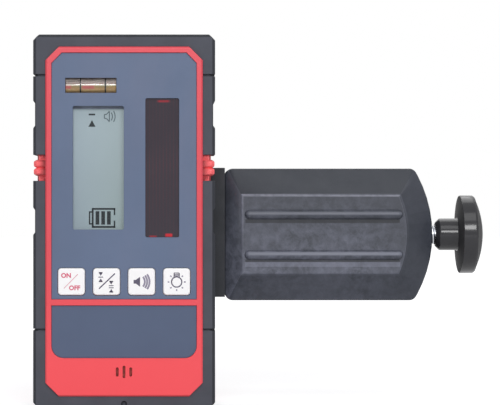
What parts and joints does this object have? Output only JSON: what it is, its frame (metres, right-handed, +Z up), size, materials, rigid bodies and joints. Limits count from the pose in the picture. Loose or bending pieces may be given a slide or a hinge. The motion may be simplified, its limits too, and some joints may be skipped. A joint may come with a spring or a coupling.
{
  "type": "laser receiver",
  "caption": "Hand-held laser receiver in rubber bumpers with a display, sensor window, vial and keys, carried on a screw clamp that grips a levelling staff.",
  "frame": {"origin": "middle of the receiver's flat bottom face, between its front and back", "axes": "+Z up along the receiver, +X towards the clamp and its knob, display facing -Y"},
  "size_m": [0.1845, 0.0635, 0.15],
  "materials": {
    "housing": "satin moulded red plastic",
    "bumper": "matt dark grey moulded rubber",
    "rubber": "matt black rubber",
    "upper_panel": "smooth blue grey film",
    "lower_panel": "smooth blue grey film, a shade darker",
    "clear_plastic": "clear polished plastic",
    "display": "grey green display glass",
    "white_plastic": "smooth white plastic",
    "filter": "polished smoked red filter",
    "board": "green circuit board",
    "black_plastic": "black moulded plastic",
    "dark_chip": "dark epoxy",
    "vial_tube": "clear tube",
    "vial_fluid": "yellow green fluid",
    "mesh": "fine dust mesh",
    "cell": "sleeved cell",
    "steel": "plated steel",
    "brass": "turned brass",
    "foam": "soft foam",
    "clamp_plastic": "fine textured black plastic",
    "knob_plastic": "glossy black plastic"
  },
  "bodies": {
    "receiver": {"front_housing": "housing", "rear_housing": "housing", "housing_seal": "rubber", "housing_screws": "steel", "top_bumper": "bumper", "bottom_bumper": "bumper", "left_upper_bumper": "bumper", "left_lower_bumper": "bumper", "right_upper_bumper": "bumper", "right_lower_bumper": "bumper", "upper_panel": "upper_panel", "lower_panel": "lower_panel", "lcd_lens": "clear_plastic", "lcd_glass": "display", "lcd_backlight": "white_plastic", "sensor_filter": "filter", "sensor_board": "board", "sensor_spacers": "black_plastic", "photodiodes": "dark_chip", "vial_tube": "vial_tube", "vial_plugs": "housing", "vial_fluid": "vial_fluid", "vial_lines": "black_plastic", "main_board": "board", "board_screws": "steel", "board_chips": "dark_chip", "key_switches": "black_plastic", "buzzer": "black_plastic", "buzzer_mesh": "mesh", "battery_tray": "black_plastic", "battery_cells": "cell", "battery_contacts": "steel", "battery_springs": "steel", "door_pin": "steel", "mount_insert": "brass", "mount_bracket": "clamp_plastic", "bracket_screws": "steel", "fixed_jaw_pad": "rubber", "clamp_housing": "clamp_plastic", "clamp_nut": "brass"},
    "sliding_jaw": {"sliding_jaw": "clamp_plastic", "sliding_jaw_pad": "rubber"},
    "clamp_screw": {"clamp_screw": "steel", "screw_clip": "steel", "clamp_knob": "knob_plastic"},
    "power_key": {"power_key": "white_plastic"},
    "accuracy_key": {"accuracy_key": "white_plastic"},
    "sound_key": {"sound_key": "white_plastic"},
    "light_key": {"light_key": "white_plastic"},
    "battery_door": {"battery_door": "housing", "door_pad": "foam"},
    "mount_washer": {"mount_washer": "steel"},
    "mount_screw": {"mount_screw": "black_plastic"}
  },
  "joints": [
    {"name": "jaw_slide", "type": "slide", "parent": "receiver", "child": "sliding_jaw", "axis": [1, 0, 0], "range_m": [0, 0.038]},
    {"name": "clamp_screw_turn", "type": "hinge", "parent": "sliding_jaw", "child": "clamp_screw", "pos_m": [0.1283, 0.02, 0.06938], "axis": [1, 0, 0], "range_deg": [0, 6840.2]},
    {"name": "battery_door_hinge", "type": "hinge", "parent": "receiver", "child": "battery_door", "pos_m": [0, 0.0123, 0.0091], "axis": [-1, 0, 0], "range_deg": [0, 95]},
    {"name": "mount_washer_slide", "type": "slide", "parent": "receiver", "child": "mount_washer", "axis": [0, 1, 0], "range_m": [0, 0.0085]},
    {"name": "mount_screw_turn", "type": "hinge", "parent": "mount_washer", "child": "mount_screw", "pos_m": [0, 0.0207, 0.06938], "axis": [0, 1, 0], "range_deg": [0, 2409.2]},
    {"name": "power_key_press", "type": "slide", "parent": "receiver", "child": "power_key", "axis": [0, 1, 0], "range_m": [0, 0.0005], "stiffness_N_per_m": 400, "springref_m": -0.0005},
    {"name": "accuracy_key_press", "type": "slide", "parent": "receiver", "child": "accuracy_key", "axis": [0, 1, 0], "range_m": [0, 0.0005], "stiffness_N_per_m": 400, "springref_m": -0.0005},
    {"name": "sound_key_press", "type": "slide", "parent": "receiver", "child": "sound_key", "axis": [0, 1, 0], "range_m": [0, 0.0005], "stiffness_N_per_m": 400, "springref_m": -0.0005},
    {"name": "light_key_press", "type": "slide", "parent": "receiver", "child": "light_key", "axis": [0, 1, 0], "range_m": [0, 0.0005], "stiffness_N_per_m": 400, "springref_m": -0.0005}
  ],
  "couplings": [
    {"joint": "clamp_screw_turn", "follows": "jaw_slide", "rad_per_m": 3141.6},
    {"joint": "mount_washer_slide", "follows": "mount_screw_turn", "m_per_rad": 0.00020213}
  ]
}
